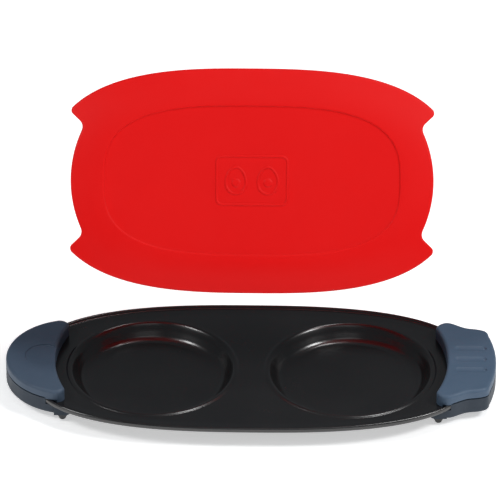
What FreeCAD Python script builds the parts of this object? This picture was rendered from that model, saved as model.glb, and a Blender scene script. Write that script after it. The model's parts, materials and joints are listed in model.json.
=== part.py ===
import FreeCAD, Part

import math
import os

# Two-egg cooker: a coated oval tray with two wells, a two-shell handle at each end, four feet and a loose lid.
# Millimetres. +X to the right, +Y to the back, +Z up. The origin is on the table, under the middle of the tray.

# ---- driving dimensions: levels above the table ----
RIM_TOP = 15.0
TRAY_TOP = 13.0
TRAY_BOTTOM = 11.4
WELL_FLOOR = 4.0
SHEET = 1.6
HANDLE_TOP = 21.5
HANDLE_PARTING = 16.0
HANDLE_BOTTOM = 5.0

# ---- driving dimensions: tray ----
TRAY_HALF_X = 135.0
TRAY_HALF_Y = 67.3
TRAY_POWER = 2.65
RIM_WIDTH = 2.4
RIM_ROUND = 1.1
FLOOR_ROUND = 1.2
TRAY_GAP = 0.12
WELL_X = 60.0
WELL_MOUTH_R = 50.0
WELL_FLOOR_R = 39.5
LIP_HEIGHT = 0.8
HEAT_LAYER = 1.2
HEAT_GAP = 0.02

# ---- driving dimensions: handles ----
GRIP_CORNER_X = 112.0
GRIP_CORNER_Y = 34.5
GRIP_INNER_X = 119.0
GRIP_OUTER_X = 149.0
CAP_CENTRE_X = 108.6
CORNER_ROUND = 2.4
EDGE_ROUND = 2.0
WALL = 2.2
GROOVE_HEIGHT = 0.8
GROOVE_DEPTH = 0.9
FIT = 0.08
PASS_FIT = 0.15
TIGHT_FIT = 0.02
SCREW_X = 123.5
SCREW_Y = 18.0
SCREW_R = 1.5
SCREW_HEAD_R = 2.9
SCREW_HEAD_DEPTH = 2.4
BOSS_R = 4.0
EAR_X = 108.0
EAR_LENGTH = 10.5
EAR_HALF_Y = 40.5
EAR_CLEAR_R = 53.0
EAR_ROUND = 4.0
THUMB_REST_R = 11.5
THUMB_REST_DEPTH = 0.8
THUMB_REST_X = 126.0

# ---- driving dimensions: feet ----
FOOT_X = 113.5
FOOT_Y = 36.0
FOOT_TOP_R = 4.2
FOOT_TIP_R = 2.0
FOOT_STEM_R = 1.9
FOOT_STEM = 2.6

# ---- driving dimensions: lid ----
LID_HALF_X = 122.5
LID_HALF_Y = 67.6
LID_POWER = 2.8
LID_BULGE_X = 109.0
LID_BULGE_R = 71.0
NOTCH_Y = 32.6
NOTCH_ROUND = 5.0
HORN_X = 110.4
HORN_Y = 41.4
HORN_ROUND = 1.6
LID_GAP = 0.3
LID_SKIN = 1.8
LID_RISE = 5.6
PANEL_HALF_X = 88.8
PANEL_HALF_Y = 44.7
PANEL_POWER = 3.0
PANEL_STEP = 0.7
EMBLEM_HALF_X = 21.8
EMBLEM_HALF_Y = 15.1
EMBLEM_ROUND = 4.0
EMBLEM_LINE = 1.1
EMBLEM_RISE = 0.5
EGG_X = 9.6
EGG_HALF_X = 6.6
EGG_HALF_Y = 8.6
EGG_TAPER = 0.16
YOLK_R = 2.6
YOLK_Y = -1.4
LID_PIVOT_Y = -97.0
LID_PIVOT_Z = 97.5
LID_TILT = 56.0
# one row per level of the flange: how far its oval lies from the lid's own along X and Y, share of the rise
LID_FLANGE = [(6.0, 6.0, -0.21), (0.0, 0.0, 0.0), (-11.8, -8.3, 0.48), (-23.5, -16.2, 0.88), (-31.9, -21.8, 1.0)]

UP = FreeCAD.Vector(0, 0, 1)
ALONG_X = FreeCAD.Vector(1, 0, 0)
ALONG_Y = FreeCAD.Vector(0, 1, 0)


def at(x, y, z=0.0):
    return FreeCAD.Vector(x, y, z)


def cylinder(x, y, low, high, radius):
    return Part.makeCylinder(radius, high - low, at(x, y, low), UP)


def oval_wire(half_x, half_y, power, z, count=64):
    """Closed superellipse: (x / half_x) ** power + (y / half_y) ** power = 1."""
    points = []
    for index in range(count):
        angle = 2 * math.pi * index / count
        cos_a = math.cos(angle)
        sin_a = math.sin(angle)
        x = math.copysign(abs(cos_a) ** (2 / power), cos_a) * half_x
        y = math.copysign(abs(sin_a) ** (2 / power), sin_a) * half_y
        points.append(at(x, y, z))
    curve = Part.BSplineCurve()
    curve.interpolate(points, PeriodicFlag=True)
    return Part.Wire(curve.toShape())


def oval_prism(half_x, half_y, power, low, high):
    return Part.Face(oval_wire(half_x, half_y, power, low)).extrude(at(0, 0, high - low))


def tray_prism(outset, low, high):
    return oval_prism(TRAY_HALF_X + outset, TRAY_HALF_Y + outset, TRAY_POWER, low, high)


def line(start, end):
    return Part.LineSegment(start, end).toShape()


def arc(start, through, end):
    return Part.Arc(start, through, end).toShape()


# ---- tray ----
def revolve_section(edges):
    """Solid of revolution about the Z axis from a closed section in the XZ plane."""
    return Part.Face(Part.Wire(edges)).revolve(at(0, 0), UP, 360)


def well_cup():
    """One well: flat floor, rounded corner, sloping wall and a raised, rolled lip."""
    crest = TRAY_TOP + LIP_HEIGHT
    root_r = WELL_MOUTH_R + 4.0
    edges = [
        line(at(0, 0, WELL_FLOOR), at(WELL_FLOOR_R, 0, WELL_FLOOR)),
        arc(at(WELL_FLOOR_R, 0, WELL_FLOOR), at(42.7, 0, 5.0), at(44.9, 0, 7.4)),
        line(at(44.9, 0, 7.4), at(47.6, 0, 11.9)),
        arc(at(47.6, 0, 11.9), at(49.1, 0, 13.4), at(50.6, 0, crest)),
        arc(at(50.6, 0, crest), at(52.5, 0, 13.56), at(root_r, 0, TRAY_TOP)),
        line(at(root_r, 0, TRAY_TOP), at(root_r, 0, TRAY_BOTTOM)),
        line(at(root_r, 0, TRAY_BOTTOM), at(49.2, 0, TRAY_BOTTOM)),
        line(at(49.2, 0, TRAY_BOTTOM), at(46.3, 0, 6.6)),
        arc(at(46.3, 0, 6.6), at(43.6, 0, 3.6), at(WELL_FLOOR_R, 0, WELL_FLOOR - SHEET)),
        line(at(WELL_FLOOR_R, 0, WELL_FLOOR - SHEET), at(0, 0, WELL_FLOOR - SHEET)),
        line(at(0, 0, WELL_FLOOR - SHEET), at(0, 0, WELL_FLOOR)),
    ]
    return revolve_section(edges)


def make_pan():
    plate = tray_prism(0, TRAY_BOTTOM, RIM_TOP)
    rim_edges = [edge for edge in plate.Edges if edge.BoundBox.ZLength < 0.01]
    plate = plate.makeFillet(RIM_ROUND, rim_edges)
    recess = tray_prism(-RIM_WIDTH, TRAY_TOP, RIM_TOP + 2)
    floor_edges = [edge for edge in recess.Edges if edge.BoundBox.ZMax < TRAY_TOP + 0.01]
    recess = recess.makeFillet(FLOOR_ROUND, floor_edges)
    pan = plate.cut(recess)
    for side in (-1, 1):
        hole = cylinder(side * WELL_X, 0, 0, RIM_TOP + 5, WELL_MOUTH_R + 3.0)
        cup = well_cup().translate(at(side * WELL_X, 0))
        pan = pan.cut(hole).fuse(cup)
        for row in (-1, 1):
            pan = pan.cut(cylinder(side * SCREW_X, row * SCREW_Y, 0, RIM_TOP, SCREW_R + 0.2))
    return pan.removeSplitter()


def make_heat_layer(side):
    """Dished layer on the underside of one well."""
    top = WELL_FLOOR - SHEET - HEAT_GAP
    edges = [
        line(at(0, 0, top), at(WELL_FLOOR_R, 0, top)),
        arc(at(WELL_FLOOR_R, 0, top), at(43.62, 0, 3.56), at(46.34, 0, 6.6)),
        line(at(46.34, 0, 6.6), at(47.46, 0, 6.5)),
        arc(at(47.46, 0, 6.5), at(44.6, 0, 2.7), at(WELL_FLOOR_R, 0, top - HEAT_LAYER)),
        line(at(WELL_FLOOR_R, 0, top - HEAT_LAYER), at(0, 0, top - HEAT_LAYER)),
        line(at(0, 0, top - HEAT_LAYER), at(0, 0, top)),
    ]
    return revolve_section(edges).translate(at(side * WELL_X, 0))


# ---- handles: outlines are drawn for the right-hand end and mirrored for the left ----
# Each outline can be drawn a wall's thickness smaller, for the hollow inside the shell.
def inner_arc(inset):
    """Concave edge that faces the wells."""
    corner_x = GRIP_CORNER_X + inset
    corner_y = GRIP_CORNER_Y - inset
    return arc(at(corner_x, -corner_y), at(GRIP_INNER_X + inset, 0), at(corner_x, corner_y))


def round_outline(inset=0.0):
    """Disc-like cap with a short rounded shoulder at each inner corner."""
    radius = GRIP_OUTER_X - CAP_CENTRE_X - inset
    shoulder_x = 119.0
    shoulder_y = math.sqrt(radius ** 2 - (shoulder_x - CAP_CENTRE_X) ** 2)
    shoulder = arc(at(GRIP_CORNER_X + inset, GRIP_CORNER_Y - inset),
                   at(114.6 + 0.7 * inset, 38.2 - 0.75 * inset), at(shoulder_x, shoulder_y))
    cap = arc(at(shoulder_x, shoulder_y), at(GRIP_OUTER_X - inset, 0), at(shoulder_x, -shoulder_y))
    return Part.Wire(Part.__sortEdges__([inner_arc(inset), shoulder, cap, shoulder.mirror(at(0, 0), ALONG_Y)]))


def flared_outline(inset=0.0):
    """Grip that flares beside the tray, narrows to a waist and ends in a slightly bowed edge."""
    # place of each knot, then the direction in which an inset moves it
    knots = [(GRIP_CORNER_X, GRIP_CORNER_Y, 1.0, -1.0), (114.4, 38.6, 0.8, -0.9), (118.6, 40.6, 0.0, -1.0),
             (124.6, 38.4, -0.3, -1.0), (131.0, 34.9, -0.3, -1.0), (136.8, 33.8, 0.0, -1.0),
             (140.6, 32.6, -0.5, -1.0)]
    curve = Part.BSplineCurve()
    curve.interpolate([at(x + inset * dx, y + inset * dy) for x, y, dx, dy in knots])
    side = curve.toShape()
    last = curve.EndPoint
    end = at(144.2 - inset, 27.4)
    corner = arc(last, at(143.2 - 0.8 * inset, 30.7 - 0.7 * inset), end)
    outer = arc(end, at(GRIP_OUTER_X - 0.5 - inset, 0), at(end.x, -end.y))
    half = [side, corner]
    other_half = [edge.mirror(at(0, 0), ALONG_Y) for edge in half]
    return Part.Wire(Part.__sortEdges__([inner_arc(inset), outer] + half + other_half))


def outline_prism(outline, low, high):
    return Part.Face(outline).extrude(at(0, 0, high - low)).translate(at(0, 0, low))


def upright_corner_edges(solid):
    """The two sharp upright edges where the inner arc meets the sides."""
    found = []
    for edge in solid.Edges:
        box = edge.BoundBox
        if box.XLength < 0.01 and box.YLength < 0.01 and abs(box.XMin - GRIP_CORNER_X) < 0.01:
            found.append(edge)
    return found


def level_edges(solid, level):
    return [edge for edge in solid.Edges if edge.BoundBox.ZLength < 0.01 and abs(edge.BoundBox.ZMin - level) < 0.01]


def screw_places():
    return [(SCREW_X, -SCREW_Y), (SCREW_X, SCREW_Y)]


def make_handle_top(outline_maker):
    """Upper shell: a hollow cover that also fills down to the tray inside the rim."""
    outline = outline_maker()
    cover = outline_prism(outline, HANDLE_PARTING, HANDLE_TOP)
    cover = cover.makeFillet(CORNER_ROUND, upright_corner_edges(cover))
    cover = cover.makeFillet(EDGE_ROUND, level_edges(cover, HANDLE_TOP))
    block = outline_prism(outline, TRAY_TOP + FIT, HANDLE_PARTING)
    block = block.makeFillet(CORNER_ROUND, upright_corner_edges(block))
    rim_space = tray_prism(TRAY_GAP, TRAY_TOP, RIM_TOP + FIT).cut(
        tray_prism(-RIM_WIDTH - FLOOR_ROUND - FIT, TRAY_TOP - 1, RIM_TOP + 1))
    beyond_tray = outline_prism(outline, TRAY_TOP, HANDLE_PARTING).cut(
        tray_prism(TRAY_GAP - FIT, TRAY_TOP - 1, HANDLE_PARTING + 1))
    skirt = block.cut(rim_space).cut(beyond_tray)
    shell = cover.fuse(skirt)
    hollow = outline_prism(outline_maker(WALL + 0.2), TRAY_TOP - 1, HANDLE_TOP - WALL)
    shell = shell.cut(hollow)
    for x, y in screw_places():
        boss = cylinder(x, y, TRAY_TOP + FIT, HANDLE_TOP - 1.0, BOSS_R)
        shell = shell.fuse(boss).cut(cylinder(x, y, TRAY_TOP - 1, HANDLE_TOP - 2.2, SCREW_R + TIGHT_FIT))
    return shell.removeSplitter()


def lower_ears(top):
    """Floor of the lower shell that reaches in under the tray, with an ear over each foot."""
    ears = Part.makeBox(EAR_LENGTH, 2 * EAR_HALF_Y, top - HANDLE_BOTTOM, at(EAR_X, -EAR_HALF_Y, HANDLE_BOTTOM))
    ear_corners = []
    for edge in ears.Edges:
        if edge.BoundBox.ZLength > 0.01 and abs(edge.BoundBox.XMin - EAR_X) < 0.01:
            ear_corners.append(edge)
    ears = ears.makeFillet(EAR_ROUND, ear_corners)
    strip = Part.makeBox(14.0, 2 * EAR_HALF_Y - 17.0, WALL, at(GRIP_CORNER_X, -EAR_HALF_Y + 8.5, HANDLE_BOTTOM))
    return ears.fuse(strip).cut(cylinder(WELL_X, 0, 0, HANDLE_TOP, EAR_CLEAR_R))


def make_handle_bottom(outline_maker):
    """Lower shell: open tray shape under the end of the pan, with screw posts and foot sockets.

    Its wall steps in just under the parting, which leaves a shadow line below the upper shell.
    """
    under_tray = TRAY_BOTTOM - FIT
    shell = outline_prism(outline_maker(), HANDLE_BOTTOM, HANDLE_PARTING - 0.05)
    shell = shell.makeFillet(CORNER_ROUND, upright_corner_edges(shell))
    shell = shell.makeFillet(EDGE_ROUND, level_edges(shell, HANDLE_BOTTOM))
    hollow = outline_prism(outline_maker(WALL), HANDLE_BOTTOM + WALL, HANDLE_TOP)
    beside_groove = outline_prism(outline_maker(GROOVE_DEPTH), HANDLE_BOTTOM, HANDLE_TOP)
    groove = outline_prism(outline_maker(), HANDLE_PARTING - GROOVE_HEIGHT, HANDLE_PARTING).cut(beside_groove)
    shell = shell.cut(hollow).cut(groove)
    shell = shell.fuse(lower_ears(under_tray))
    shell = shell.cut(tray_prism(TRAY_GAP, under_tray, HANDLE_TOP))
    for x, y in screw_places():
        shell = shell.fuse(cylinder(x, y, HANDLE_BOTTOM + 0.5, under_tray, BOSS_R))
        shell = shell.cut(cylinder(x, y, 0, HANDLE_TOP, SCREW_R + PASS_FIT))
        shell = shell.cut(cylinder(x, y, 0, HANDLE_BOTTOM + SCREW_HEAD_DEPTH, SCREW_HEAD_R + PASS_FIT))
    for row in (-1, 1):
        shell = shell.cut(cylinder(FOOT_X, row * FOOT_Y, 0, HANDLE_BOTTOM + FOOT_STEM + 0.1, FOOT_STEM_R + TIGHT_FIT))
    return shell.removeSplitter()


def make_screw(x, y):
    """Pan-head self-tapping screw with a cross recess, head down."""
    head_low = HANDLE_BOTTOM + 0.5
    head_high = HANDLE_BOTTOM + SCREW_HEAD_DEPTH - TIGHT_FIT
    head = cylinder(x, y, head_low, head_high, SCREW_HEAD_R)
    head = head.makeFillet(0.7, level_edges(head, head_low))
    shank = cylinder(x, y, head_high - 0.1, HANDLE_TOP - 2.6, SCREW_R)
    screw = head.fuse(shank)
    for length, width in ((3.0, 0.7), (0.7, 3.0)):
        slot = Part.makeBox(length, width, 1.1, at(x - length / 2, y - width / 2, head_low - 0.1))
        screw = screw.cut(slot)
    return screw


def thumb_recess():
    """Shallow round thumb rest on the rounded handle."""
    low = HANDLE_TOP - THUMB_REST_DEPTH
    dish = cylinder(THUMB_REST_X, 0, low, HANDLE_TOP + 2, THUMB_REST_R)
    return dish.makeFillet(THUMB_REST_DEPTH * 0.75, level_edges(dish, low))


def grip_flutes():
    """Three shallow flutes across the flared handle, each with a deeper scoop at its outer end."""
    flute_r = 6.0
    flute_depth = 0.7
    scoop_r = 1.5
    start_x = 126.0
    end_x = 140.0
    cutters = []
    for y in (-11.5, 0.0, 11.5):
        axis_z = HANDLE_TOP - flute_depth + flute_r
        flute = Part.makeCylinder(flute_r, end_x - start_x, at(start_x, y, axis_z), ALONG_X)
        cutters.append(flute)
        for x in (start_x, end_x):
            cutters.append(Part.makeSphere(flute_r, at(x, y, axis_z)))
        cutters.append(Part.makeSphere(scoop_r, at(end_x + 1.4, y, HANDLE_TOP + 0.3)))
    return cutters


# ---- feet ----
def make_foot(side, row):
    """Tapered foot with a rounded tip and a stem that pushes up into its socket."""
    tip_round = 0.9
    edges = [
        line(at(0, 0, 0), at(FOOT_TIP_R - tip_round, 0, 0)),
        arc(at(FOOT_TIP_R - tip_round, 0, 0), at(FOOT_TIP_R - 0.2, 0, 0.3), at(FOOT_TIP_R + 0.1, 0, 1.0)),
        line(at(FOOT_TIP_R + 0.1, 0, 1.0), at(FOOT_TOP_R, 0, HANDLE_BOTTOM - TIGHT_FIT)),
        line(at(FOOT_TOP_R, 0, HANDLE_BOTTOM - TIGHT_FIT), at(FOOT_STEM_R, 0, HANDLE_BOTTOM - TIGHT_FIT)),
        line(at(FOOT_STEM_R, 0, HANDLE_BOTTOM - TIGHT_FIT), at(FOOT_STEM_R, 0, HANDLE_BOTTOM + FOOT_STEM)),
        line(at(FOOT_STEM_R, 0, HANDLE_BOTTOM + FOOT_STEM), at(0, 0, HANDLE_BOTTOM + FOOT_STEM)),
        line(at(0, 0, HANDLE_BOTTOM + FOOT_STEM), at(0, 0, 0)),
    ]
    return revolve_section(edges).translate(at(side * FOOT_X, row * FOOT_Y))


# ---- lid, drawn closed on the tray and then tipped back about its pivot ----
def lid_end_cutter(side, low, high):
    """Everything beyond the lid's end contour: a bulge between two corner notches."""
    notch_x = LID_BULGE_X - LID_BULGE_R + math.sqrt(LID_BULGE_R ** 2 - NOTCH_Y ** 2)
    far_x = 160.0
    edges = [
        line(at(far_x, -HORN_Y), at(HORN_X, -HORN_Y)),
        line(at(HORN_X, -HORN_Y), at(notch_x, -NOTCH_Y)),
        arc(at(notch_x, -NOTCH_Y), at(LID_BULGE_X, 0), at(notch_x, NOTCH_Y)),
        line(at(notch_x, NOTCH_Y), at(HORN_X, HORN_Y)),
        line(at(HORN_X, HORN_Y), at(far_x, HORN_Y)),
        line(at(far_x, HORN_Y), at(far_x, -HORN_Y)),
    ]
    cutter = Part.Face(Part.Wire(edges)).extrude(at(0, 0, high - low)).translate(at(0, 0, low))
    notch_edges = []
    for edge in cutter.Edges:
        box = edge.BoundBox
        if box.ZLength > 0.01 and abs(abs(box.YMin) - NOTCH_Y) < 0.01:
            notch_edges.append(edge)
    cutter = cutter.makeFillet(NOTCH_ROUND, notch_edges)
    if side < 0:
        cutter = cutter.mirror(at(0, 0), ALONG_X)
    return cutter


def lid_plan(low, high):
    """Upright prism of the lid's outline with rounded horn tips."""
    plan = oval_prism(LID_HALF_X, LID_HALF_Y, LID_POWER, low, high)
    for side in (-1, 1):
        plan = plan.cut(lid_end_cutter(side, low - 1, high + 1))
        beyond = Part.makeBox(40.0, 200.0, high - low + 2, at(side * (LID_BULGE_X + 20.0) - 20.0, -100, low - 1))
        plan = plan.cut(beyond)
    tips = []
    for edge in plan.Edges:
        box = edge.BoundBox
        upright = box.ZLength > 0.01 and box.XLength < 0.01 and box.YLength < 0.01
        if upright and abs(box.XMin) > LID_BULGE_X - 2.5 and abs(box.YMin) > NOTCH_Y + 2:
            tips.append(edge)
    return plan.makeFillet(HORN_ROUND, tips)


def lid_dome(base):
    """Solid under one face of the lid: a flange that sweeps up to the flat centre."""
    wires = []
    for grow_x, grow_y, rise in LID_FLANGE:
        wires.append(oval_wire(LID_HALF_X + grow_x, LID_HALF_Y + grow_y, LID_POWER, base + LID_RISE * rise))
    return Part.makeLoft(wires, True, False)


def egg_prism(centre_x, inset, low, high):
    """Egg-shaped prism, blunt end towards the front."""
    points = []
    for index in range(24):
        angle = 2 * math.pi * index / 24
        taper = 1 - EGG_TAPER * math.sin(angle)
        x = centre_x + (EGG_HALF_X - inset) * taper * math.cos(angle)
        points.append(at(x, (EGG_HALF_Y - inset) * math.sin(angle), low))
    curve = Part.BSplineCurve()
    curve.interpolate(points, PeriodicFlag=True)
    return Part.Face(Part.Wire(curve.toShape())).extrude(at(0, 0, high - low))


def emblem_block(inset, low, high):
    """Rounded rectangular prism of the emblem's frame."""
    half_x = EMBLEM_HALF_X - inset
    half_y = EMBLEM_HALF_Y - inset
    block = Part.makeBox(2 * half_x, 2 * half_y, high - low, at(-half_x, -half_y, low))
    corners = [edge for edge in block.Edges if edge.BoundBox.ZLength > 0.01]
    return block.makeFillet(EMBLEM_ROUND - inset, corners)


def emblem(panel_top):
    """Plain pictogram on the panel: two eggs with their yolks in a rounded frame."""
    low = panel_top - 0.3
    high = panel_top + EMBLEM_RISE
    pieces = [emblem_block(0, low, high).cut(emblem_block(EMBLEM_LINE, low - 1, high + 1))]
    for side in (-1, 1):
        egg_x = side * EGG_X
        pieces.append(egg_prism(egg_x, 0, low, high).cut(egg_prism(egg_x, EMBLEM_LINE, low - 1, high + 1)))
        pieces.append(cylinder(egg_x, YOLK_Y, low, high, YOLK_R))
    return pieces


def make_lid():
    edge_low = RIM_TOP + LID_GAP
    centre_top = edge_low + LID_SKIN + LID_RISE
    panel_top = centre_top - PANEL_STEP
    outer = lid_dome(edge_low + LID_SKIN)
    inner = lid_dome(edge_low)
    plan = lid_plan(edge_low - 5, edge_low + 20)
    shell = outer.cut(inner).common(plan)
    shell = shell.cut(oval_prism(PANEL_HALF_X, PANEL_HALF_Y, PANEL_POWER, edge_low, centre_top + 5))
    panel = oval_prism(PANEL_HALF_X + 1, PANEL_HALF_Y + 1, PANEL_POWER, panel_top - LID_SKIN, panel_top)
    lid = shell.fuse(panel)
    for piece in emblem(panel_top):
        lid = lid.fuse(piece)
    return lid


def tip_back(shape):
    """Turn the closed lid to its lifted, tipped-back place."""
    return shape.rotate(at(0, LID_PIVOT_Y, LID_PIVOT_Z), ALONG_X, LID_TILT)


# ---- build and write every node ----
def mirrored(shape):
    return shape.mirror(at(0, 0), ALONG_X)


def handle_nodes(prefix, outline_maker, surface_cutters, is_left):
    top = make_handle_top(outline_maker)
    for cutter in surface_cutters:
        top = top.cut(cutter)
    shapes = {
        prefix + "_handle_top": top,
        prefix + "_handle_bottom": make_handle_bottom(outline_maker),
        prefix + "_handle_screws": Part.makeCompound([make_screw(x, y) for x, y in screw_places()]),
    }
    if is_left:
        shapes = {name: mirrored(shape) for name, shape in shapes.items()}
    return shapes


def build():
    nodes = {"pan": make_pan()}
    nodes["left_heat_layer"] = make_heat_layer(-1)
    nodes["right_heat_layer"] = make_heat_layer(1)
    nodes.update(handle_nodes("left", round_outline, [thumb_recess()], True))
    nodes.update(handle_nodes("right", flared_outline, grip_flutes(), False))
    for side, side_name in ((-1, "left"), (1, "right")):
        for row, row_name in ((-1, "front"), (1, "rear")):
            nodes["foot_" + row_name + "_" + side_name] = make_foot(side, row)
    nodes["lid"] = tip_back(make_lid())
    return nodes


def main():
    os.makedirs("parts", exist_ok=True)
    for name, shape in build().items():
        shape.exportStep("parts/" + name + ".step")
        box = shape.BoundBox
        print(name, shape.ShapeType, len(shape.Solids), shape.isValid(), round(shape.Volume, 1),
              [round(v, 2) for v in (box.XMin, box.XMax, box.YMin, box.YMax, box.ZMin, box.ZMax)])


main()
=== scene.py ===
import json
import math

import bmesh
import bpy
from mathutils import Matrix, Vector


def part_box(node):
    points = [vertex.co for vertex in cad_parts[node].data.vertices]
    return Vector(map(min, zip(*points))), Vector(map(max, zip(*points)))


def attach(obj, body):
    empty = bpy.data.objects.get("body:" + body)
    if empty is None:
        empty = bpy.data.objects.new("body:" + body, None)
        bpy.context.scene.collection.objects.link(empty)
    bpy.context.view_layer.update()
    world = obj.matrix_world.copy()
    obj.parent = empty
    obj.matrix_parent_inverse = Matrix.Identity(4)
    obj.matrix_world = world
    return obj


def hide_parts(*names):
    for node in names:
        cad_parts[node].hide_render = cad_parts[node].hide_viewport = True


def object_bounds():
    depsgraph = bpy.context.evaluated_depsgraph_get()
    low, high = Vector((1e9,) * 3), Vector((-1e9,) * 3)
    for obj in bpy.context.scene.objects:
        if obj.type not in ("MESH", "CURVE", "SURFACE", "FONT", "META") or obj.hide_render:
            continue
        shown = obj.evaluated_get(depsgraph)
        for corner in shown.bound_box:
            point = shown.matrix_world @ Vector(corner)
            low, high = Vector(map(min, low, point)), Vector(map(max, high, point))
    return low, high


# Two-egg cooker, in metres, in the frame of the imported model: +X right, +Y back, +Z up.
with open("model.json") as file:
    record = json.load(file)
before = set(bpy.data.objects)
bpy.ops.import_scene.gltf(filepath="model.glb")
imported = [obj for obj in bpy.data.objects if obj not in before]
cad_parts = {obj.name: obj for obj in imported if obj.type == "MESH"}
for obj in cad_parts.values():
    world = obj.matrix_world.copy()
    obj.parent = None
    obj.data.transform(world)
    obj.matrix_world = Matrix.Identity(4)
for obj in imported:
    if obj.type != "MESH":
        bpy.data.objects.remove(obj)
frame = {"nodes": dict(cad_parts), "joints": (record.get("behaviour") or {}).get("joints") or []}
cad_lo, cad_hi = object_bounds()
MM = 0.001

# ---- places taken from the frame ----
pan_lo, pan_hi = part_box("pan")
heat_lo, heat_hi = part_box("right_heat_layer")
TRAY_HALF_X = (pan_hi[0] - pan_lo[0]) / 2
TRAY_HALF_Y = (pan_hi[1] - pan_lo[1]) / 2
RIM_TOP = pan_hi[2]
WELL_BOTTOM = pan_lo[2]
WELL_X = (heat_lo[0] + heat_hi[0]) / 2
LID_JOINT = next(joint for joint in frame["joints"] if joint["name"] == "lid_lift")

# ---- sizes of the tray ----
TRAY_POWER = 2.65
TRAY_COUNT = 288
TRAY_TOP = RIM_TOP - 2.0 * MM
SHEET = 1.6 * MM
TRAY_BOTTOM = TRAY_TOP - SHEET
WELL_FLOOR = WELL_BOTTOM + SHEET
BORDER_WIDTH = 9.4 * MM
BORDER_RISE = 0.35 * MM
BORDER_STEPS = 8
WELL_HOLD_R = 53.0 * MM
WELL_COUNT = 144

# ---- sections of the tray, in mm: (distance, height over a level), three points to an arc ----
# rim: distance in from the outline
UNDER_FLAT = 4.0
TURN_UP_ARC = ((1.5, 0.0), (0.35, 0.55), (0.0, 1.6))
ROLL_ARC = ((0.0, -1.1), (0.95, 0.0), (2.0, -0.9))
ROLL_FOOT_ARC = ((2.15, 0.45), (2.45, 0.12), (3.0, 0.0))
# well, upper side: distance from its axis
LIP_FOOT_R = 52.7
LIP_ARC = ((52.4, 0.04), (50.4, 0.8), (48.5, -0.25))
WALL = ((47.9, -1.0), (47.0, -2.6), (45.9, -4.4))
WALL_FOOT_ARC = ((44.9, 3.4), (42.7, 1.0), (39.5, 0.0))
FLOOR_RADII = (34.0, 26.0, 16.0, 7.0)
# well, underside
UNDER_LIP_R = 50.2
UNDER_LIP_ARC = ((49.6, 0.0), (49.0, -0.3), (48.6, -1.0))
UNDER_FOOT_ARC = ((46.3, 4.2), (43.6, 1.2), (39.5, 0.0))
UNDER_FLOOR_R = 20.0

# ---- sizes of the lid, in its closed place on the rim ----
LID_POWER = 2.8
LID_COUNT = 480
LID_HALF_X = 122.5 * MM
LID_HALF_Y = 67.6 * MM
LID_EDGE_Z = RIM_TOP + 0.3 * MM
LID_SKIN = 1.8 * MM
LID_RISE = 5.6 * MM
EDGE_ROUND = 0.8 * MM
EDGE_STEPS = 5
FLANGE_RUN_X = 31.9 * MM
FLANGE_RUN_Y = 21.8 * MM
FLANGE_STEPS = 16
# height of the flange over its run: factors of the run, its square and its cube, which add up to 1
FLANGE_CURVE = (1.262, 0.344, -0.606)
LID_BULGE_X = 109.0 * MM
LID_BULGE_R = 71.0 * MM
NOTCH_Y = 32.6 * MM
NOTCH_ROUND = 5.0 * MM
NOTCH_REACH = NOTCH_ROUND * 0.73
NOTCH_RUN_IN = 2.0 * MM
HORN_X = 110.4 * MM
HORN_Y = 41.4 * MM
HORN_ROUND = 1.8 * MM
HORN_CLEAR = 1.2 * MM
BULGE_STEPS = 60
LONG_EDGE_STEPS = 400
POINT_GAP = 0.2 * MM

# ---- sunk panel of the lid ----
PANEL_POWER = 3.0
PANEL_HALF_X = 88.8 * MM
PANEL_HALF_Y = 44.7 * MM
PANEL_STEP = 0.7 * MM
PANEL_Z = LID_EDGE_Z + LID_SKIN + LID_RISE - PANEL_STEP
PANEL_LAND = 0.9 * MM
# sections of the wall round it: (mm inward from the panel's outline, part of the step)
PANEL_WALL = ((-0.3, 0.0), (-0.12, 0.1), (-0.04, 0.35), (0.04, 0.7), (0.12, 0.93), (0.3, 1.0), (1.2, 1.0))
UNDER_WALL = ((-0.6, 0.1), (-0.3, 0.5), (0.0, 0.9), (0.6, 1.0))

# ---- pictogram on the panel: two eggs in a frame ----
EMBLEM_HALF_X = 21.8 * MM
EMBLEM_HALF_Y = 15.1 * MM
EMBLEM_ROUND = 4.0 * MM
EMBLEM_LINE = 1.2 * MM
EMBLEM_RISE = 0.5 * MM
EMBLEM_MARGIN = 0.25 * MM
EGG_X = 9.6 * MM
EGG_HALF_X = 6.6 * MM
EGG_HALF_Y = 8.6 * MM
EGG_TAPER = 0.16
YOLK_R = 2.6 * MM
YOLK_Y = -1.4 * MM
# section of a raised line: (part of its width, part of its rise)
LINE_SECTION = (
    (0.0, 0.0), (0.06, 0.55), (0.16, 0.92), (0.3, 1.0), (0.7, 1.0), (0.84, 0.92), (0.94, 0.55), (1.0, 0.0),
)
# section of a raised dot with its margin: (part of its radius, part of its rise)
DOT_SECTION = ((1.1, 0.0), (1.0, 0.0), (0.94, 0.6), (0.82, 0.93), (0.62, 1.0))

# ---- studio ----
VIEW_AZIMUTH = math.radians(1.0)
VIEW_ELEVATION = math.radians(33.1)
CAMERA_DISTANCE = 4.0
CAMERA_REACH = 20.0
FRAME_WIDTH = 0.3002
AIM_SHIFT = Vector((-0.0006, 0.0, 0.0044))
LIGHT_AIM = Vector((0.0, 0.0, 0.06))
# name, place, side of the square, watts
LIGHTS = (
    ("right", (0.98, -0.34, 1.12), 0.34, 10.0),
    ("left", (-0.96, -0.36, 1.09), 0.34, 6.5),
    ("front", (0.2, -1.2, 1.7), 1.0, 3.0),
    ("top", (0.45, 0.15, 1.45), 0.3, 5.5),
)
SKY_COLOUR = (0.84, 0.93, 1.0, 1.0)
SKY_STRENGTH = 0.15
FLOOR_HALF = 6.0
FLOOR_GLOW = 0.5
FLOOR_GAP = 0.0002


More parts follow.
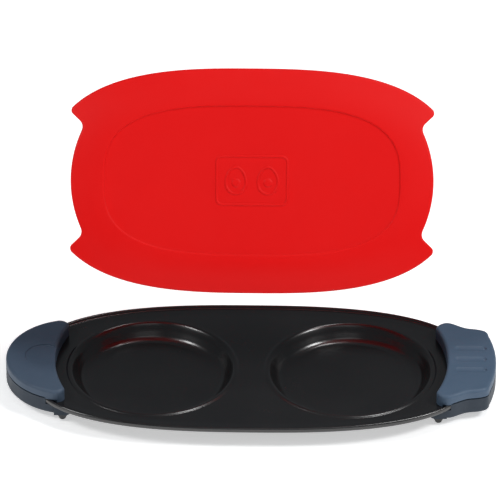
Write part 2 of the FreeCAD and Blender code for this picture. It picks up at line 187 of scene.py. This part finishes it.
# ======================================================================
# curves in the plane
# ======================================================================
def oval_point(half_x, half_y, power, angle):
    """Point of a superellipse at a parameter angle."""
    cos_a = math.cos(angle)
    sin_a = math.sin(angle)
    x = math.copysign(abs(cos_a) ** (2 / power), cos_a) * half_x
    y = math.copysign(abs(sin_a) ** (2 / power), sin_a) * half_y
    return Vector((x, y))


def even_loop(points, count):
    """The closed polyline resampled to evenly spaced points."""
    total = [0.0]
    closed = points + [points[0]]
    for first, second in zip(closed, closed[1:]):
        total.append(total[-1] + (second - first).length)
    result = []
    index = 0
    for step in range(count):
        goal = total[-1] * step / count
        while total[index + 1] < goal:
            index += 1
        part = (goal - total[index]) / max(total[index + 1] - total[index], 1e-12)
        result.append(closed[index].lerp(closed[index + 1], part))
    return result


def oval_loop(half_x, half_y, power, count, fine=4000):
    """Evenly spaced points of a superellipse, taken from a finer drawing of it."""
    points = [oval_point(half_x, half_y, power, 2 * math.pi * k / fine) for k in range(fine)]
    return even_loop(points, count)


def inward_normals(points):
    """Unit normals that point into a loop drawn anticlockwise."""
    normals = []
    count = len(points)
    for k in range(count):
        along = points[(k + 1) % count] - points[k - 1]
        normals.append(Vector((-along.y, along.x)).normalized())
    return normals


def offset(points, normals, distance):
    return [p + n * distance for p, n in zip(points, normals)]


def arc_points(start, through, end, count):
    """Points along the circular arc through three places, ends included."""
    ax, ay = start
    bx, by = through
    cx, cy = end
    d = 2 * (ax * (by - cy) + bx * (cy - ay) + cx * (ay - by))
    a2 = ax * ax + ay * ay
    b2 = bx * bx + by * by
    c2 = cx * cx + cy * cy
    ux = (a2 * (by - cy) + b2 * (cy - ay) + c2 * (ay - by)) / d
    uy = (a2 * (cx - bx) + b2 * (ax - cx) + c2 * (bx - ax)) / d
    radius = math.hypot(ax - ux, ay - uy)
    first = math.atan2(ay - uy, ax - ux)
    middle = math.atan2(by - uy, bx - ux)
    last = math.atan2(cy - uy, cx - ux)
    turn = (last - first) % (2 * math.pi)
    if (middle - first) % (2 * math.pi) > turn:
        turn -= 2 * math.pi
    result = []
    for k in range(count):
        angle = first + turn * k / (count - 1)
        result.append((ux + radius * math.cos(angle), uy + radius * math.sin(angle)))
    return result


# ======================================================================
# mesh building
# ======================================================================
def add_ring(mesh, places):
    return [mesh.verts.new(place) for place in places]


def add_level_ring(mesh, points, height):
    """Ring of plan points at one height."""
    return add_ring(mesh, [(*p, height) for p in points])


def bridge(mesh, first, second):
    """Band of quads between two rings with the same number of vertices."""
    count = len(first)
    for k in range(count):
        after = (k + 1) % count
        mesh.faces.new((first[k], first[after], second[after], second[k]))


def stack(mesh, rings):
    for first, second in zip(rings, rings[1:]):
        bridge(mesh, first, second)


def cap(mesh, ring, centre):
    """Fan of triangles from a ring to a point inside it."""
    hub = mesh.verts.new(centre)
    count = len(ring)
    for k in range(count):
        mesh.faces.new((ring[k], ring[(k + 1) % count], hub))


def ring_edges(ring):
    edges = []
    for k, vert in enumerate(ring):
        other = ring[(k + 1) % len(ring)]
        edges.append(next(edge for edge in vert.link_edges if edge.other_vert(vert) is other))
    return edges


def fill_flat(mesh, loops):
    """Fills the flat sheet between an outer loop and the loops inside it."""
    edges = [edge for loop in loops for edge in ring_edges(loop)]
    bmesh.ops.triangle_fill(mesh, use_beauty=True, use_dissolve=False, edges=edges)


def finish_mesh(mesh, name, body, material):
    """Turn a bmesh into a smooth-shaded object that rides on a body."""
    bmesh.ops.recalc_face_normals(mesh, faces=mesh.faces)
    data = bpy.data.meshes.new(name)
    mesh.to_mesh(data)
    mesh.free()
    for polygon in data.polygons:
        polygon.use_smooth = True
    piece = bpy.data.objects.new(name, data)
    bpy.context.collection.objects.link(piece)
    data.materials.append(material)
    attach(piece, body)
    return piece


# ======================================================================
# materials
# ======================================================================
class Shader:
    """Small helper round one node tree."""

    def __init__(self, name):
        self.material = bpy.data.materials.new(name)
        self.material.use_nodes = True
        self.tree = self.material.node_tree
        self.shader = self.tree.nodes["Principled BSDF"]
        self.place = self.node("ShaderNodeTexCoord").outputs["Object"]

    def node(self, kind, **values):
        """New node; each value goes to the node's property or input of that name."""
        made = self.tree.nodes.new(kind)
        for key, value in values.items():
            if hasattr(made, key):
                setattr(made, key, value)
            else:
                made.inputs[key.replace("_", " ")].default_value = value
        return made

    def link(self, source, target):
        self.tree.links.new(source, target)

    def noise(self, scale, detail=3.0, roughness=0.55):
        made = self.node("ShaderNodeTexNoise", Scale=scale, Detail=detail, Roughness=roughness)
        self.link(self.place, made.inputs["Vector"])
        return made.outputs["Fac"]

    def span(self, value, from_low, from_high, to_low=0.0, to_high=1.0):
        """The value carried from one range to another, and held inside it."""
        limits = {"From_Min": from_low, "From_Max": from_high, "To_Min": to_low, "To_Max": to_high}
        made = self.node("ShaderNodeMapRange", **limits)
        self.link(value, made.inputs["Value"])
        return made.outputs["Result"]

    def mix(self, factor, first, second):
        """Blend of two colours, each a colour or a socket."""
        made = self.node("ShaderNodeMix", data_type="RGBA")
        colours = [socket for socket in made.inputs if socket.type == "RGBA"]
        for socket, value in zip(colours, (first, second)):
            if hasattr(value, "links"):
                self.link(value, socket)
            else:
                socket.default_value = (*value, 1.0)
        self.link(factor, made.inputs[0])
        return next(socket for socket in made.outputs if socket.type == "RGBA")

    def bump(self, height, distance, strength=1.0, below=None):
        made = self.node("ShaderNodeBump", Strength=strength, Distance=distance)
        self.link(height, made.inputs["Height"])
        if below is not None:
            self.link(below, made.inputs["Normal"])
        return made.outputs["Normal"]

    def set(self, **values):
        """Give the surface shader its inputs, each a value or a socket."""
        for key, value in values.items():
            socket = self.shader.inputs[key.replace("_", " ")]
            if hasattr(value, "links"):
                self.link(value, socket)
            else:
                socket.default_value = value


def nonstick_material():
    """Sprayed non-stick coat: near-black, fine orange peel, faint sparkle flecks and rubbed patches."""
    s = Shader("nonstick_coat")
    base = s.mix(s.span(s.noise(22.0, 4.0), 0.35, 0.65), (0.0058, 0.0050, 0.0054), (0.0082, 0.0074, 0.0076))
    fleck = s.span(s.noise(2600.0, 1.0), 0.70, 0.76, 0.0, 0.35)
    rub = s.noise(60.0, 5.0, 0.7)
    peel = s.noise(900.0, 2.0)
    s.set(
        Base_Color=s.mix(fleck, base, (0.10, 0.10, 0.105)),
        Roughness=s.span(rub, 0.30, 0.72, 0.20, 0.28),
        Normal=s.bump(peel, 0.00006, 0.35),
        IOR=1.5,
        Specular_IOR_Level=0.75,
    )
    return s.material


def grip_material(name, dark, light):
    """Blue-grey moulded plastic with a fine spark-eroded texture and a little wear."""
    s = Shader(name)
    cloud = s.noise(35.0, 4.0)
    wear = s.noise(180.0, 3.0)
    grain = s.noise(2200.0, 2.0, 0.6)
    s.set(
        Base_Color=s.mix(s.span(cloud, 0.3, 0.7), dark, light),
        Roughness=s.span(wear, 0.3, 0.7, 0.48, 0.60),
        Normal=s.bump(grain, 0.00005, 0.5),
        IOR=1.47,
        Specular_IOR_Level=0.35,
    )
    return s.material


def lid_material():
    """Red moulded silicone-like plastic: satin, slightly uneven gloss, very fine skin texture."""
    s = Shader("lid_plastic")
    cloud = s.noise(14.0, 3.0)
    gloss = s.noise(90.0, 4.0)
    skin = s.noise(1500.0, 2.0)
    ripple = s.noise(45.0, 2.0)
    s.set(
        Base_Color=s.mix(s.span(cloud, 0.3, 0.7), (0.710, 0.0042, 0.0042), (0.730, 0.0054, 0.0050)),
        Roughness=s.span(gloss, 0.3, 0.7, 0.40, 0.47),
        Normal=s.bump(skin, 0.00004, 0.3, s.bump(ripple, 0.0001, 0.1)),
        IOR=1.43,
        Specular_IOR_Level=0.2,
        Subsurface_Weight=0.08,
        Subsurface_Scale=0.003,
        Subsurface_Radius=(1.0, 0.2, 0.1),
    )
    return s.material


def rubber_material():
    """Black rubber of the feet."""
    s = Shader("foot_rubber")
    s.set(
        Base_Color=s.mix(s.span(s.noise(300.0, 4.0), 0.3, 0.7), (0.010, 0.010, 0.011), (0.022, 0.022, 0.024)),
        Roughness=s.span(s.noise(500.0), 0.3, 0.7, 0.55, 0.75),
        Normal=s.bump(s.noise(1600.0), 0.00006, 0.5),
    )
    return s.material


def heat_layer_material():
    """Ferrite-filled silicone: dark grey, dull, with fine mineral specks."""
    s = Shader("heat_layer")
    speck = s.span(s.noise(1800.0, 2.0), 0.58, 0.66, 0.0, 0.4)
    base = s.mix(s.span(s.noise(40.0, 4.0), 0.3, 0.7), (0.040, 0.040, 0.043), (0.058, 0.057, 0.060))
    s.set(
        Base_Color=s.mix(speck, base, (0.12, 0.12, 0.12)),
        Roughness=s.span(s.noise(120.0, 4.0), 0.3, 0.7, 0.7, 0.85),
        Normal=s.bump(s.noise(1200.0, 3.0), 0.0001, 0.5),
    )
    return s.material


def steel_material():
    """Zinc-plated screw steel."""
    s = Shader("screw_steel")
    s.set(
        Base_Color=s.mix(s.span(s.noise(400.0, 4.0), 0.3, 0.7), (0.42, 0.42, 0.43), (0.62, 0.61, 0.60)),
        Roughness=s.span(s.noise(900.0, 4.0), 0.3, 0.7, 0.24, 0.42),
        Normal=s.bump(s.noise(1500.0, 2.0), 0.00004, 0.5),
        Metallic=1.0,
    )
    return s.material


def floor_material():
    """Pale studio paper, with a glow of its own so that it stays near white."""
    s = Shader("floor_paper")
    s.set(
        Base_Color=s.mix(s.span(s.noise(6.0), 0.3, 0.7), (0.94, 0.94, 0.94), (0.96, 0.96, 0.96)),
        Roughness=0.9,
        Normal=s.bump(s.noise(400.0), 0.0001, 0.1),
        Emission_Color=(1.0, 1.0, 1.0, 1.0),
        Emission_Strength=FLOOR_GLOW,
    )
    return s.material


NONSTICK = nonstick_material()
# Both handles are one blue-grey plastic: the left handle's tone is painted darker as shade, and the right
# handle's tone is painted lighter where the key light falls from the right.
LEFT_GRIP_PAINTED_SHADE = grip_material("handle_plastic_left_painted_shade", (0.049, 0.074, 0.114), (0.058, 0.086, 0.128))
RIGHT_GRIP_PAINTED_LIGHT = grip_material("handle_plastic_right_painted_light", (0.060, 0.098, 0.152), (0.072, 0.112, 0.170))
# The lower shells are the same plastic as the upper ones, painted much darker as shade under the upper
# shells.
LOWER_GRIP_PAINTED_SHADE = grip_material("handle_plastic_lower_painted_shade", (0.020, 0.030, 0.045), (0.026, 0.037, 0.053))
LID_RED = lid_material()
RUBBER = rubber_material()
HEAT_LAYER = heat_layer_material()
STEEL = steel_material()


# ======================================================================
# tray
# ======================================================================
def section_points(level, points):
    """Points of a section, given in mm over a level."""
    return [(distance * MM, level + height * MM) for distance, height in points]


def section_arc(level, arc, count):
    return arc_points(*section_points(level, arc), count)


def rim_section():
    """Rim: from under the tray round the rolled edge and in over the border, which eases down to the tray."""
    section = [(BORDER_WIDTH, TRAY_BOTTOM), (UNDER_FLAT * MM, TRAY_BOTTOM)]
    section += section_arc(TRAY_BOTTOM, TURN_UP_ARC, count=6)
    section += section_arc(RIM_TOP, ROLL_ARC, count=10)
    section += section_arc(TRAY_TOP + BORDER_RISE, ROLL_FOOT_ARC, count=5)
    border_start = ROLL_FOOT_ARC[-1][0] * MM
    for k in range(1, BORDER_STEPS + 1):
        part = k / BORDER_STEPS
        ease = 0.5 + 0.5 * math.cos(math.pi * part)
        section.append((border_start + (BORDER_WIDTH - border_start) * part, TRAY_TOP + BORDER_RISE * ease))
    return section


def well_section():
    """Upper side of a well: from the tray over the rolled lip and down to the floor."""
    section = [(WELL_HOLD_R, TRAY_TOP), (LIP_FOOT_R * MM, TRAY_TOP)]
    section += section_arc(TRAY_TOP, LIP_ARC, count=14)
    section += section_points(TRAY_TOP, WALL)
    section += section_arc(WELL_FLOOR, WALL_FOOT_ARC, count=9)
    section += [(radius * MM, WELL_FLOOR) for radius in FLOOR_RADII]
    return section


def well_underside_section():
    section = [(WELL_HOLD_R, TRAY_BOTTOM), (UNDER_LIP_R * MM, TRAY_BOTTOM)]
    section += section_arc(TRAY_BOTTOM, UNDER_LIP_ARC, count=4)
    section += section_arc(WELL_BOTTOM, UNDER_FOOT_ARC, count=8)
    section += [(UNDER_FLOOR_R * MM, WELL_BOTTOM)]
    return section


def circle_loop(centre_x, centre_y, radius, count):
    angles = [2 * math.pi * k / count for k in range(count)]
    return [Vector((centre_x + radius * math.cos(a), centre_y + radius * math.sin(a))) for a in angles]


def add_well(mesh, centre_x, section):
    """Adds one side of a well and returns its outermost ring."""
    rings = []
    for radius, height in section:
        rings.append(add_level_ring(mesh, circle_loop(centre_x, 0.0, radius, WELL_COUNT), height))
    stack(mesh, rings)
    cap(mesh, rings[-1], (centre_x, 0.0, section[-1][1]))
    return rings[0]


def build_pan():
    mesh = bmesh.new()
    outline = oval_loop(TRAY_HALF_X, TRAY_HALF_Y, TRAY_POWER, TRAY_COUNT)
    normals = inward_normals(outline)
    rings = []
    for inset, height in rim_section():
        rings.append(add_level_ring(mesh, offset(outline, normals, inset), height))
    stack(mesh, rings)
    upper = [rings[-1]]
    under = [rings[0]]
    for side in (-1, 1):
        upper.append(add_well(mesh, side * WELL_X, well_section()))
        under.append(add_well(mesh, side * WELL_X, well_underside_section()))
    fill_flat(mesh, upper)
    fill_flat(mesh, under)
    tray = finish_mesh(mesh, "tray_shell", "base", NONSTICK)
    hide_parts("pan")


# ======================================================================
# outline and faces of the lid, drawn closed on the rim
# ======================================================================
def round_corner(before, corner, after, radius, count=7):
    """Points of an arc that replaces a corner between two straight directions."""
    to_before = (before - corner).normalized()
    to_after = (after - corner).normalized()
    half = math.acos(max(-1.0, min(1.0, to_before.dot(to_after)))) / 2
    reach = radius / math.tan(half)
    start = corner + to_before * reach
    end = corner + to_after * reach
    centre = corner + (to_before + to_after).normalized() * (radius / math.sin(half))
    middle = centre + (corner - centre).normalized() * radius
    return [Vector(p) for p in arc_points(start, middle, end, count)]


def bulge_point(y):
    """Point of the round bulge at the lid's right end."""
    return Vector((LID_BULGE_X - LID_BULGE_R + math.sqrt(LID_BULGE_R ** 2 - y * y), y))


def lid_quarter():
    """Outline of the lid from the middle of its right end to the middle of its long edge."""
    notch = bulge_point(NOTCH_Y)
    slope = (Vector((HORN_X, HORN_Y)) - notch).normalized()
    inner_tip = notch + slope * ((LID_BULGE_X - notch.x) / slope.x)
    tip_y = LID_HALF_Y * (1 - (LID_BULGE_X / LID_HALF_X) ** LID_POWER) ** (1 / LID_POWER)
    outer_tip = Vector((LID_BULGE_X, tip_y))
    angles = [math.pi / 2 * k / LONG_EDGE_STEPS for k in range(LONG_EDGE_STEPS + 1)]
    long_edge = [oval_point(LID_HALF_X, LID_HALF_Y, LID_POWER, angle) for angle in angles]
    beyond_tip = [p for p in long_edge if p.x < LID_BULGE_X - HORN_CLEAR]
    points = [bulge_point((NOTCH_Y - NOTCH_REACH) * k / BULGE_STEPS) for k in range(BULGE_STEPS)]
    points += round_corner(bulge_point(NOTCH_Y - NOTCH_RUN_IN), notch, inner_tip, NOTCH_ROUND, count=12)
    points += round_corner(notch, inner_tip, outer_tip, HORN_ROUND)
    points += round_corner(inner_tip, outer_tip, beyond_tip[0], HORN_ROUND)
    points += [p for p in beyond_tip if p.x < points[-1].x - POINT_GAP]
    return points


def lid_outline():
    quarter = lid_quarter()
    left = [Vector((-p.x, p.y)) for p in reversed(quarter)]
    upper = quarter + left[1:]
    lower = [Vector((-p.x, -p.y)) for p in upper]
    return even_loop(upper + lower[1:-1], LID_COUNT)


def flange_height(x, y):
    """Height of the lid's flange over its edge, for a point in plan."""
    # halve the range of the run, 0 at the edge and 1 at the panel, until the point's own oval is found
    low = -0.4
    high = 1.0
    for _ in range(40):
        run = (low + high) / 2
        half_x = LID_HALF_X - FLANGE_RUN_X * run
        half_y = LID_HALF_Y - FLANGE_RUN_Y * run
        if (abs(x) / half_x) ** LID_POWER + (abs(y) / half_y) ** LID_POWER < 1:
            low = run
        else:
            high = run
    run = (low + high) / 2
    slope, square, cube = FLANGE_CURVE
    if run < 0:
        return LID_RISE * slope * run
    return LID_RISE * (slope * run + square * run ** 2 + cube * run ** 3)


def flange_z(p, depth):
    """Level at a depth below the lid's upper face."""
    return LID_EDGE_Z + LID_SKIN + flange_height(p.x, p.y) - depth


def add_flange_ring(mesh, points, depth):
    return add_ring(mesh, [(p.x, p.y, flange_z(p, depth)) for p in points])


def match_panel(outline):
    """For each point of the lid's outline, the panel's point in the same direction and its inward normal."""
    panel = oval_loop(PANEL_HALF_X, PANEL_HALF_Y, PANEL_POWER, 4 * LID_COUNT)
    directions = [math.atan2(p.y / PANEL_HALF_Y, p.x / PANEL_HALF_X) for p in panel]
    matched = []
    normals = []
    for p in outline:
        goal = math.atan2(p.y / LID_HALF_Y, p.x / LID_HALF_X)
        index = min(range(len(panel)), key=lambda k: abs(math.remainder(directions[k] - goal, 2 * math.pi)))
        q = panel[index]
        gx = math.copysign(abs(q.x / PANEL_HALF_X) ** (PANEL_POWER - 1) / PANEL_HALF_X, -q.x)
        gy = math.copysign(abs(q.y / PANEL_HALF_Y) ** (PANEL_POWER - 1) / PANEL_HALF_Y, -q.y)
        matched.append(q)
        normals.append(Vector((gx, gy)).normalized())
    return matched, normals


def lid_face(mesh, outline, normals, panel, panel_normals, upper):
    """Rings of the upper face or the underside: over the rounded edge, up the flange and down to the panel.

    The widest ring belongs to both faces, so only the upper face adds it.
    """
    depth = 0.0 if upper else LID_SKIN
    inward = 1 if upper else -1
    rings = []
    for k in range(0 if upper else 1, EDGE_STEPS + 1):
        angle = math.pi / 2 * k / EDGE_STEPS
        inset = EDGE_ROUND * (1 - math.cos(angle))
        drop = EDGE_ROUND * (1 - math.sin(angle))
        rings.append(add_flange_ring(mesh, offset(outline, normals, inset), depth + inward * drop))
    inner = offset(outline, normals, EDGE_ROUND)
    land = offset(panel, panel_normals, -PANEL_LAND)
    for k in range(1, FLANGE_STEPS + 1):
        between = [p.lerp(q, k / FLANGE_STEPS) for p, q in zip(inner, land)]
        rings.append(add_flange_ring(mesh, between, depth))
    for inset, down in PANEL_WALL if upper else UNDER_WALL:
        places = []
        for q in offset(panel, panel_normals, inset * MM):
            high = flange_z(q, depth)
            places.append((q.x, q.y, high + (PANEL_Z - depth - high) * down))
        rings.append(add_ring(mesh, places))
    return rings


# ======================================================================
# pictogram
# ======================================================================
def egg_loop(centre_x, inset, count=64):
    points = []
    for k in range(count):
        angle = 2 * math.pi * k / count
        taper = 1 - EGG_TAPER * math.sin(angle)
        x = centre_x + (EGG_HALF_X - inset) * taper * math.cos(angle)
        points.append(Vector((x, (EGG_HALF_Y - inset) * math.sin(angle))))
    return points


def frame_loop(inset, steps=8):
    """Rounded rectangle of the pictogram's frame, every corner drawn with the same number of points."""
    radius = EMBLEM_ROUND - inset
    arm_x = EMBLEM_HALF_X - inset - radius
    arm_y = EMBLEM_HALF_Y - inset - radius
    points = []
    for quarter, (sign_x, sign_y) in enumerate(((1, 1), (-1, 1), (-1, -1), (1, -1))):
        for k in range(steps + 1):
            angle = math.pi / 2 * (quarter + k / steps)
            x = sign_x * arm_x + radius * math.cos(angle)
            y = sign_y * arm_y + radius * math.sin(angle)
            points.append(Vector((x, y)))
    return points


def raised_line(mesh, loop_at):
    """Raised line along the loop that loop_at gives for an inset, with a flat margin on both sides.

    Returns the outer and the inner margin's ring.
    """
    outer = loop_at(0.0)
    inner = loop_at(EMBLEM_LINE)
    rings = [add_level_ring(mesh, loop_at(-EMBLEM_MARGIN), PANEL_Z)]
    for part, height in LINE_SECTION:
        between = [p.lerp(q, part) for p, q in zip(outer, inner)]
        rings.append(add_level_ring(mesh, between, PANEL_Z + EMBLEM_RISE * height))
    rings.append(add_level_ring(mesh, loop_at(EMBLEM_LINE + EMBLEM_MARGIN), PANEL_Z))
    stack(mesh, rings)
    return rings[0], rings[-1]


def raised_dot(mesh, centre_x, centre_y, radius):
    """Raised button with a flat margin; returns the margin's ring."""
    rings = []
    for part, height in DOT_SECTION:
        loop = circle_loop(centre_x, centre_y, radius * part, 48)
        rings.append(add_level_ring(mesh, loop, PANEL_Z + EMBLEM_RISE * height))
    stack(mesh, rings)
    cap(mesh, rings[-1], (centre_x, centre_y, PANEL_Z + EMBLEM_RISE))
    return rings[0]


def add_emblem_panel(mesh, around):
    """Flat face of the sunk panel with the raised pictogram, inside a ring."""
    frame_out, frame_in = raised_line(mesh, frame_loop)
    fill_flat(mesh, [around, frame_out])
    field = [frame_in]
    for side in (-1, 1):
        egg_x = side * EGG_X
        egg_out, egg_in = raised_line(mesh, lambda inset: egg_loop(egg_x, inset))
        field.append(egg_out)
        fill_flat(mesh, [egg_in, raised_dot(mesh, egg_x, YOLK_Y, YOLK_R)])
    fill_flat(mesh, field)


def carry_to_rest(mesh):
    """Turn the closed lid about its joint to where the frame holds it at rest."""
    pivot = Vector(LID_JOINT["pos_m"])
    tilt = -math.radians(LID_JOINT["range_deg"][0])
    for vert in mesh.verts:
        y = vert.co.y - pivot.y
        z = vert.co.z - pivot.z
        vert.co.y = pivot.y + y * math.cos(tilt) - z * math.sin(tilt)
        vert.co.z = pivot.z + y * math.sin(tilt) + z * math.cos(tilt)


def build_lid():
    mesh = bmesh.new()
    outline = lid_outline()
    plan = (outline, inward_normals(outline), *match_panel(outline))
    top = lid_face(mesh, *plan, upper=True)
    stack(mesh, top)
    add_emblem_panel(mesh, top[-1])
    under = [top[0]] + lid_face(mesh, *plan, upper=False)
    stack(mesh, under)
    cap(mesh, under[-1], (0.0, 0.0, PANEL_Z - LID_SKIN))
    carry_to_rest(mesh)
    lid = finish_mesh(mesh, "lid_shell", "lid", LID_RED)
    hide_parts("lid")


# ======================================================================
# CAD nodes that keep their shape
# ======================================================================
def dress(node, material):
    for slot in frame["nodes"][node].material_slots:
        slot.material = material


def dress_nodes():
    for name in frame["nodes"]:
        if name.startswith("foot_"):
            dress(name, RUBBER)
        elif name.endswith("heat_layer"):
            dress(name, HEAT_LAYER)
        elif name.endswith("screws"):
            dress(name, STEEL)
        # lower shells: same plastic, painted darker as shade
        elif name.endswith("handle_bottom"):
            dress(name, LOWER_GRIP_PAINTED_SHADE)
        # left handle: tone painted darker as shade; right handle: tone painted lighter as light
        elif name.startswith("left_handle"):
            dress(name, LEFT_GRIP_PAINTED_SHADE)
        elif name.startswith("right_handle"):
            dress(name, RIGHT_GRIP_PAINTED_LIGHT)


# ======================================================================
# studio
# ======================================================================
def place_object(name, data):
    made = bpy.data.objects.new(name, data)
    bpy.context.collection.objects.link(made)
    return made


def point_at(looker, aim):
    """Turn a camera or a light so that it looks at a place."""
    looker.rotation_mode = "QUATERNION"
    looker.rotation_quaternion = (aim - looker.location).to_track_quat("-Z", "Y")


def view_direction():
    """From the object towards the camera."""
    return Vector((
        math.sin(VIEW_AZIMUTH) * math.cos(VIEW_ELEVATION),
        -math.cos(VIEW_AZIMUTH) * math.cos(VIEW_ELEVATION),
        math.sin(VIEW_ELEVATION),
    ))


def make_camera():
    data = bpy.data.cameras.new("camera")
    data.lens = data.sensor_width * CAMERA_DISTANCE / FRAME_WIDTH
    data.clip_end = CAMERA_REACH
    camera = place_object("camera", data)
    aim = (cad_lo + cad_hi) / 2 + AIM_SHIFT
    camera.location = aim + view_direction() * CAMERA_DISTANCE
    point_at(camera, aim)
    bpy.context.scene.camera = camera


def make_lights():
    for name, place, size, power in LIGHTS:
        data = bpy.data.lights.new(name, "AREA")
        data.energy = power
        data.size = size
        light = place_object(name, data)
        light.location = place
        point_at(light, LIGHT_AIM)


def make_sky():
    world = bpy.data.worlds.new("studio")
    bpy.context.scene.world = world
    world.use_nodes = True
    background = world.node_tree.nodes["Background"]
    background.inputs["Color"].default_value = SKY_COLOUR
    background.inputs["Strength"].default_value = SKY_STRENGTH


def make_floor():
    mesh = bmesh.new()
    bmesh.ops.create_grid(mesh, x_segments=8, y_segments=8, size=FLOOR_HALF)
    data = bpy.data.meshes.new("floor")
    mesh.to_mesh(data)
    mesh.free()
    data.materials.append(floor_material())
    floor = place_object("floor", data)
    floor.location.z = cad_lo.z - FLOOR_GAP


def make_studio():
    make_sky()
    make_lights()
    make_floor()
    make_camera()
    bpy.context.scene.view_settings.view_transform = "Standard"


build_pan()
build_lid()
dress_nodes()
make_studio()
